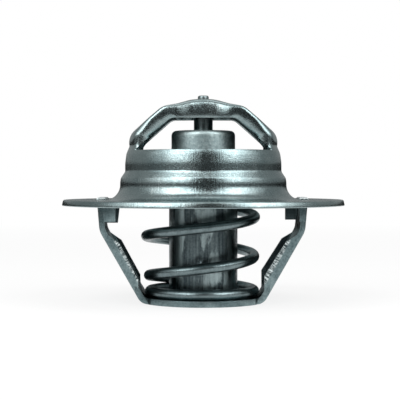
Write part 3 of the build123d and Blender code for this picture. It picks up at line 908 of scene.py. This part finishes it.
def steel(name, dark, light, around, along, rough, depth, stain_scale=130.0, line_share=0.6,
          speckle_scale=3000.0):
    """Satin steel: lines round the axis over stains and speckle, from a dark to a light tone."""
    material, tree, shader, place = new_material(name, 1.0, sum(rough) / 2)
    lines = grain_lines(tree, place, around, along)
    stains = soft_stains(tree, place, stain_scale)
    speckle = fine_speckle(tree, place, speckle_scale)
    line_tone = ranged(tree, lines, 0.32, 0.68)
    plain_tone = times(tree, speckle, 1 - line_share)
    fine_tone = maths(tree, "MULTIPLY_ADD", line_tone, line_share, plain_tone)
    tone = maths(tree, "MULTIPLY_ADD", stains, 0.4, times(tree, fine_tone, 0.6))
    color = mixed(tree, tone, dark, light)
    roughness = between(tree, fine_tone, rough[1], rough[0])
    finish_surface(tree, shader, color, roughness, fine_tone, depth)
    return material


# %% [markdown]
# The steels share a cool, slightly green grey. The sheared edges are torn and nearly black, and
# their bright flecks are painted glints. The spring wire is dark and nearly plain, and the piston and
# the disc are a little lighter.

# %% The plain steels
# Torn edge steel, nearly black, with bright flecks that are a painted glint.
sheared_glint_steel = steel(
    "sheared_edge_glint_steel", (0.015, 0.025, 0.03), (0.85, 0.95, 0.95), 60.0, 1500.0, (0.3, 0.5), 0.06,
    stain_scale=1500.0, line_share=0.0, speckle_scale=1800.0,
)
spring_steel = steel(
    "dark_spring_steel", (0.085, 0.115, 0.122), (0.26, 0.33, 0.34), 60.0, 700.0, (0.24, 0.4), 0.01,
    stain_scale=260.0, line_share=0.3,
)
piston_steel = steel(
    "ground_pin_steel", (0.12, 0.16, 0.165), (0.32, 0.38, 0.385), 1.5, 4200.0, (0.25, 0.4), 0.01,
)
disc_steel = steel(
    "pressed_disc_steel", (0.15, 0.2, 0.205), (0.36, 0.44, 0.445), 3.0, 1500.0, (0.3, 0.45), 0.02,
)
print("materials so far:", len(bpy.data.materials))

# %% [markdown]
# The guide is turned and plated. Fine tool lines run round it, the plating is mottled below, and it
# is lighter, duller in a band round the top, with a ragged lower border.

# %% The guide's steel
LIGHT_BAND_BELOW_TOP = (1.1, 0.6)
guide_steel, tree, shader, place = new_material("turned_guide_steel", 1.0, 0.45)
lines = grain_lines(tree, place, 9.0, 3000.0)
mottle = soft_stains(tree, place, 650.0, 0.38, 0.62)
speckle = fine_speckle(tree, place, 2600.0)
height_mm = place_in_mm(tree, place)[2]
light_band_height = maths(tree, "MULTIPLY_ADD", mottle, 0.5, height_mm)
light_band = ranged(tree, light_band_height, *(GUIDE_TOP_Z - below for below in LIGHT_BAND_BELOW_TOP))
tone = maths(tree, "MULTIPLY_ADD", mottle, 0.25, times(tree, lines, 0.4))
tone = maths(tree, "MULTIPLY_ADD", speckle, 0.35, tone)
color = mixed(tree, tone, (0.14, 0.195, 0.2), (0.44, 0.54, 0.55))
# Lighter towards the top, in a band with a ragged lower border.
color = mixed(tree, times(tree, light_band, 0.6), color, (0.5, 0.6, 0.6))
height = maths(tree, "MULTIPLY_ADD", mottle, 0.6, maths(tree, "ADD", lines, speckle))
finish_surface(tree, shader, color, between(tree, speckle, 0.6, 0.42), height, 0.014)
print("material:", guide_steel.name)

# %% [markdown]
# The strap is rolled sheet, bent in a press. The press scored the outer faces of the side flanges
# near their free edges in short teeth, whose bright flecks are painted highlights, and the inside of
# the channel is painted dark as shade. Both follow the depth below the web's line, worked out from
# the coordinates. The heads of the staked tabs, above the flange, are hammered, and their bright
# chips are painted glints.

# %% The strap steel, with each band's start and end in mm
LEFT_WEB_SHIFT = 0.42
ARM_FOOT, ARM_HEAD = (3.6, 4.4), (12.4, 11.6)
TEETH_DEPTH, TEETH_SIDE = (1.5, 1.75), (6.4, 6.55)
TEETH_SLOPE = math.radians(30)
# Where the channel's painted shade fades in: its depth, side and reach.
PAINTED_SHADE_DEPTH, PAINTED_SHADE_SIDE, PAINTED_SHADE_REACH = (1.18, 1.35), (6.35, 6.1), (18.2, 17.95)
STAKED_HEIGHT = (19.42, 19.5)
frame_steel, tree, shader, place = new_material("strap_steel", 1.0, 0.36)
x_mm, y_mm, height_mm = place_in_mm(tree, place)
reach_mm = maths(tree, "ABSOLUTE", x_mm)
side_mm = maths(tree, "ABSOLUTE", y_mm)
web_shift = ranged(tree, x_mm, -1.0, 1.0, LEFT_WEB_SHIFT, 0.0)
web_line = maths(tree, "MULTIPLY_ADD", height_mm, WEB_LEAN, WEB_FOOT_REACH)
below_web = maths(tree, "ADD", maths(tree, "SUBTRACT", web_line, reach_mm), web_shift)
depth_mm = times(tree, below_web, WEB_SQUARE)
on_arm = times(tree, ranged(tree, height_mm, *ARM_FOOT), ranged(tree, height_mm, *ARM_HEAD))
along_arm = maths(tree, "MULTIPLY_ADD", reach_mm, math.tan(TEETH_SLOPE), height_mm)
teeth_place = add_node(
    tree, "ShaderNodeCombineXYZ",
    {"X": times(tree, along_arm, 2.6), "Y": times(tree, depth_mm, 0.9)},
).outputs[0]
teeth = noise(tree, teeth_place, 1.0, 2.0, 0.7)
teeth_and_glint_band = times(tree, ranged(tree, depth_mm, *TEETH_DEPTH), ranged(tree, side_mm, *TEETH_SIDE))
teeth_and_glint_band = times(tree, teeth_and_glint_band, on_arm)
# Painted shade: a mask for the inside of the channel, where shade falls.
inside = times(tree, ranged(tree, depth_mm, *PAINTED_SHADE_DEPTH), ranged(tree, side_mm, *PAINTED_SHADE_SIDE))
inside = times(tree, inside, ranged(tree, reach_mm, *PAINTED_SHADE_REACH))
speckle = fine_speckle(tree, place, 3000.0)
stains = soft_stains(tree, place, 150.0)
tone = maths(tree, "MULTIPLY_ADD", stains, 0.5, times(tree, speckle, 0.5))
color = mixed(tree, tone, (0.09, 0.135, 0.145), (0.3, 0.39, 0.4))
# Painted shade: the inside of the channel turns nearly black.
color = mixed(tree, times(tree, inside, 0.85), color, (0.02, 0.03, 0.034))
# Score marks in short teeth, with near-white flecks that are a painted highlight.
teeth_glint_color = mixed(tree, ranged(tree, teeth, 0.44, 0.62), (0.03, 0.045, 0.05), (0.9, 1.0, 1.0))
color = mixed(tree, times(tree, teeth_and_glint_band, 0.85), color, teeth_glint_color)
# Staked tab heads: hammered steel, with bright chips painted as glints.
staked = ranged(tree, height_mm, *STAKED_HEIGHT)
glint_chips = fine_speckle(tree, place, 2000.0)
glint_chip_tone = between(tree, glint_chips, 0.35, 0.8)
color = mixed(tree, times(tree, staked, glint_chip_tone), color, (0.95, 1, 1))
height = maths(tree, "MULTIPLY_ADD", times(tree, teeth, teeth_and_glint_band), 4.0, speckle)
finish_surface(tree, shader, color, between(tree, speckle, 0.44, 0.3), height, 0.012)
print("material:", frame_steel.name)

# %% [markdown]
# The housing is drawn through a die. The die leaves very fine marks along the draw, which smear a
# reflection sideways but keep it sharp from top to bottom, so the tiers show crisp bands. Coarser
# scratches show on the lower tier, and speckle frays the edges of the highlights.

# %% The drawn housing steel
SCRATCH_FOOT, SCRATCH_HEAD, SCRATCH_LEFT = (20.2, 21.4), (24.2, 23.4), (-4.0, -9.0)
housing_steel, tree, shader, place = new_material("drawn_housing_steel", 1.0, 0.18)
draw_marks = grain_lines(tree, place, 130.0, 220.0)
rings = grain_lines(tree, place, 2.2, 3600.0)
scratches = grain_lines(tree, place, 42.0, 110.0)
speckle = fine_speckle(tree, place, 3200.0)
stains = soft_stains(tree, place, 130.0)
x_mm, _, height_mm = place_in_mm(tree, place)
on_tier = times(
    tree, ranged(tree, height_mm, *SCRATCH_FOOT, smooth=True),
    ranged(tree, height_mm, *SCRATCH_HEAD, smooth=True),
)
on_left = ranged(tree, x_mm, *SCRATCH_LEFT, 0.15, 1.0, smooth=True)
on_tier = times(tree, on_tier, on_left)
scratch_mask = times(tree, ranged(tree, scratches, 0.56, 0.68), on_tier)
ring_tone = times(tree, ranged(tree, rings, 0.35, 0.65), 0.35)
fine_tone = maths(tree, "ADD", ring_tone, times(tree, speckle, 0.65))
tone = maths(tree, "MULTIPLY_ADD", stains, 0.45, times(tree, fine_tone, 0.55))
color = mixed(tree, tone, (0.17, 0.235, 0.245), (0.39, 0.47, 0.472))
color = mixed(tree, times(tree, scratch_mask, 0.55), color, (0.62, 0.7, 0.7))
roughness = between(tree, fine_tone, 0.3, 0.17)
height = maths(tree, "ADD", draw_marks, times(tree, speckle, 0.26))
finish_surface(tree, shader, color, roughness, height, 0.022)
print("material:", housing_steel.name)

# %% [markdown]
# The cup's wall is dark from the die's grease, with lighter patches where the punch burnished it,
# longer than they are wide, and one small ding in the front.

# %% The drawn cup steel
PATCH_SQUASH = (1, 1, 0.28)
CUP_DING = (-0.8, -6.5, 8.3)
DING_RADII = (0.1, 0.9)
DING_DEPTH = 12.0
cup_steel, tree, shader, place = new_material("drawn_cup_steel", 1.0, 0.35)
stretched = vector_maths(tree, "MULTIPLY", place, PATCH_SQUASH)[0]
patches = soft_stains(tree, stretched, 330.0, 0.5, 0.58)
streaks = grain_lines(tree, place, 11.0, 50.0)
streaks = ranged(tree, streaks, 0.4, 0.65)
speckle = fine_speckle(tree, place, 2600.0)
tone = maths(tree, "ADD", times(tree, patches, 0.6), times(tree, streaks, 0.28))
tone = maths(tree, "MULTIPLY_ADD", speckle, 0.12, tone)
ding_place = tuple(v * MM for v in CUP_DING)
ding_distance = vector_maths(tree, "DISTANCE", place, ding_place)["Value"]
ding = ranged(tree, ding_distance, *(radius * MM for radius in DING_RADII), smooth=True)
height = maths(tree, "ADD", times(tree, ding, DING_DEPTH), maths(tree, "ADD", speckle, streaks))
color = mixed(tree, tone, (0.03, 0.045, 0.052), (0.42, 0.52, 0.53))
finish_surface(tree, shader, color, between(tree, speckle, 0.42, 0.28), height, 0.012)
print("material:", cup_steel.name)

# %% [markdown]
# Rubber, wax and hard plastic hide inside the element. They are matt, and their tones vary little.

# %% The soft materials
def soft_material(name, dark, light, rough, scale, depth):
    """Rubber, wax or plastic: two close tones in a fine noise."""
    material, tree, shader, place = new_material(name, 0.0, rough)
    stains = soft_stains(tree, place, scale, 0.3, 0.7)
    speckle = fine_speckle(tree, place, scale * 14)
    tone = maths(tree, "MULTIPLY_ADD", stains, 0.6, times(tree, speckle, 0.4))
    roughness = between(tree, tone, rough + 0.08, rough - 0.08)
    finish_surface(tree, shader, mixed(tree, tone, dark, light), roughness, speckle, depth)
    return material


black_rubber = soft_material(
    "black_rubber", (0.018, 0.019, 0.02), (0.05, 0.052, 0.053), 0.55, 300.0, 0.01
)
pale_wax = soft_material("pale_wax", (0.55, 0.5, 0.36), (0.72, 0.67, 0.52), 0.5, 220.0, 0.01)
ring_plastic = soft_material(
    "ring_plastic", (0.68, 0.67, 0.62), (0.84, 0.83, 0.79), 0.4, 400.0, 0.005
)
print("materials so far:", len(bpy.data.materials))

# %% [markdown]
# Each piece takes one material, and the strap a second one for its sheared edges. The CAD nodes that
# stay as they are take theirs in their slots.

# %% Dress every piece
def dress(piece, material):
    """Give a whole piece one material."""
    piece.data.materials.clear()
    piece.data.materials.append(material)


for piece, material in (
    (valve_housing_sheet, housing_steel),
    (lower_strap, frame_steel),
    (spring_wire, spring_steel),
    (guide_head, guide_steel),
    (cup_shell, cup_steel),
    (piston_pin, piston_steel),
):
    dress(piece, material)
lower_strap.data.materials.append(sheared_glint_steel)
for index in cut_edges:
    lower_strap.data.polygons[index].material_index = 1
for node, material in (
    ("valve_disc", disc_steel),
    ("valve_seal", black_rubber),
    ("rubber_sleeve", black_rubber),
    ("wax_charge", pale_wax),
    ("chafe_ring", ring_plastic),
    ("wiper_ring", ring_plastic),
):
    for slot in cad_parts[node].material_slots:
        slot.material = material
print("materials in use:", len(bpy.data.materials))

# %% [markdown]
# ## Floor, soft boxes and flag
#
# The floor is pale and fades into the white background. It glows for the camera and for mirrors,
# mixed near the object with a matt surface that takes a soft shadow.

# %% The floor
FLOOR_SIZE = 4
FLOOR_DROP = 0.02
FLOOR_FADE_START = 0.06
FLOOR_FADE_END = 0.4
FLOOR_NEAR_GLOW = 0.8


def seen_share(tree):
    """1 for what the camera, a mirror or clear glass sees, 0 for what only lights the scene."""
    path = tree.nodes.new("ShaderNodeLightPath").outputs
    seen = maths(tree, "MAXIMUM", path["Is Camera Ray"], path["Is Glossy Ray"])
    return maths(tree, "MAXIMUM", seen, path["Is Transmission Ray"])


clear_selection()
bpy.ops.mesh.primitive_plane_add(size=FLOOR_SIZE, location=(0, 0, -FLOOR_DROP * MM))
floor = bpy.context.object
floor.name = "studio_floor"
floor_material, floor_tree, floor_shader, floor_place = new_material("studio_white", 0.0, 0.9)
floor_shader.inputs["Base Color"].default_value = (0.9, 0.9, 0.9, 1)
floor_shader.inputs["Specular IOR Level"].default_value = 0.1
floor_distance = vector_maths(floor_tree, "LENGTH", floor_place)["Value"]
floor_fade = ranged(
    floor_tree, floor_distance, FLOOR_FADE_START, FLOOR_FADE_END, FLOOR_NEAR_GLOW, 1.0
)
floor_glow = add_node(floor_tree, "ShaderNodeEmission", {"Color": (1, 1, 1, 1), "Strength": 1.0})
glow_share = times(floor_tree, seen_share(floor_tree), floor_fade)
floor_mix = add_node(
    floor_tree, "ShaderNodeMixShader",
    {0: glow_share, 1: floor_shader.outputs[0], 2: floor_glow.outputs[0]},
)
floor_tree.links.new(
    floor_mix.outputs[0], floor_tree.nodes["Material Output"].inputs["Surface"]
)
dress(floor, floor_material)
print("floor fades out by, m:", FLOOR_FADE_END)

# %% [markdown]
# Polished metal shows what stands round it. Two large soft boxes and two weaker fills light the
# sides, one lights the top, and a black flag in front gives every round form its dark core.

# %% Soft boxes and the flag
AIM = Vector((0, 0, 20))
FLAG_AZIMUTH, FLAG_DISTANCE, FLAG_HEIGHT = 4, 470, 210
FLAG_SIZE = (360, 520)


def ring_place_at(azimuth, distance, height):
    """A place round the object in mm: azimuth 0 is in front, 90 at the right."""
    turn = math.radians(azimuth)
    return Vector((distance * math.sin(turn), -distance * math.cos(turn), height))


def soft_box(name, azimuth, distance, height, width, tall, radiance):
    """A rectangular soft box that faces the object, its power set from its radiance."""
    place = ring_place_at(azimuth, distance, height)
    clear_selection()
    bpy.ops.object.light_add(type="AREA", location=place * MM)
    lamp = bpy.context.object
    lamp.name = name
    lamp.data.shape = "RECTANGLE"
    lamp.data.size = width * MM
    lamp.data.size_y = tall * MM
    lamp.data.energy = radiance * math.pi * width * tall * MM * MM
    lamp.rotation_euler = (AIM - place).to_track_quat("-Z", "Y").to_euler()


def hang_card(card, name, material):
    """Make a card that only polished metal sees: it neither shows nor shades."""
    card.name = name
    dress(card, material)
    card.visible_camera = False
    card.visible_diffuse = False
    card.visible_shadow = False


flag_material, _, flag_shader, _ = new_material("flag_black", 0.0, 1.0)
flag_shader.inputs["Base Color"].default_value = (0.012, 0.012, 0.012, 1)
flag_shader.inputs["Specular IOR Level"].default_value = 0.0
# Name, azimuth in degrees, then distance, height, width and tall in mm, and the radiance.
for box in (
    ("left_box", -36, 350, 285, 250, 385, 4.4),
    ("left_fill", -66, 350, 270, 190, 360, 1.2),
    ("right_box", 46, 350, 285, 230, 385, 4.0),
    ("right_fill", 74, 350, 270, 170, 360, 1.2),
    ("top_box", 180, 120, 460, 320, 260, 1.0),
):
    soft_box(*box)
flag_place = ring_place_at(FLAG_AZIMUTH, FLAG_DISTANCE, FLAG_HEIGHT)
clear_selection()
bpy.ops.mesh.primitive_plane_add(size=1, location=(0, 0, 0))
front_flag = bpy.context.object
front_flag.scale = (*(side * MM for side in FLAG_SIZE), 1)
bpy.ops.object.transform_apply(location=False, rotation=False, scale=True)
level = Vector((flag_place.x, flag_place.y, 0))
front_flag.rotation_euler = level.to_track_quat("-Z", "Y").to_euler()
front_flag.location = flag_place * MM
hang_card(front_flag, "front_flag", flag_material)
print("lamps:", len(bpy.data.lights))

# %% [markdown]
# A white world would wash the metal out, so a grey room stands round the object, open below, with a
# low black skirt inside it. Only reflections see them.

# %% The grey room and the low skirt
ROOM_RADIUS = 560
ROOM_HEIGHT = 560
ROOM_TONE = 0.36
SKIRT_RADIUS = 150
SKIRT_HEIGHT = 33
RING_SIDES = 96


def ring_card(name, radius, height, caps, material):
    """An upright ring round the object, with or without a lid."""
    clear_selection()
    bpy.ops.mesh.primitive_cylinder_add(
        vertices=RING_SIDES, radius=radius * MM, depth=height * MM, end_fill_type=caps,
        location=(0, 0, height * MM / 2),
    )
    card = bpy.context.object
    hang_card(card, name, material)
    return card


room_grey = bpy.data.materials.new("room_grey")
room_grey.use_nodes = True
room_glow = add_node(
    room_grey.node_tree, "ShaderNodeEmission", {"Color": (0.97, 1.0, 1.0, 1), "Strength": ROOM_TONE}
)
room_grey.node_tree.links.new(
    room_glow.outputs[0], room_grey.node_tree.nodes["Material Output"].inputs["Surface"]
)
grey_room = ring_card("grey_room", ROOM_RADIUS, ROOM_HEIGHT, "NGON", room_grey)
# The room keeps its lid and loses its bottom.
make_active(grey_room)
bpy.ops.object.mode_set(mode="EDIT")
bpy.ops.mesh.select_all(action="DESELECT")
bpy.ops.object.mode_set(mode="OBJECT")
for face in grey_room.data.polygons:
    face.select = face.normal.z < -0.5
bpy.ops.object.mode_set(mode="EDIT")
bpy.ops.mesh.delete(type="ONLY_FACE")
bpy.ops.object.mode_set(mode="OBJECT")
ring_card("low_skirt", SKIRT_RADIUS, SKIRT_HEIGHT, "NOTHING", flag_material)
print("room and skirt radius, mm:", ROOM_RADIUS, SKIRT_RADIUS)

# %% [markdown]
# The world is white to the eye, and gives matt surfaces about a third of that, so that shadows stay.

# %% The world
DIFFUSE_WORLD = 0.35
world = bpy.context.scene.world or bpy.data.worlds.new("studio_world")
bpy.context.scene.world = world
world.use_nodes = True
world_tree = world.node_tree
background = world_tree.nodes["Background"]
world_strength = between(world_tree, seen_share(world_tree), DIFFUSE_WORLD, 1.0)
world_tree.links.new(world_strength, background.inputs["Strength"])
background.inputs["Color"].default_value = (1, 1, 1, 1)
bpy.context.scene.view_settings.view_transform = "Standard"
print("world strength for matt surfaces:", DIFFUSE_WORLD)
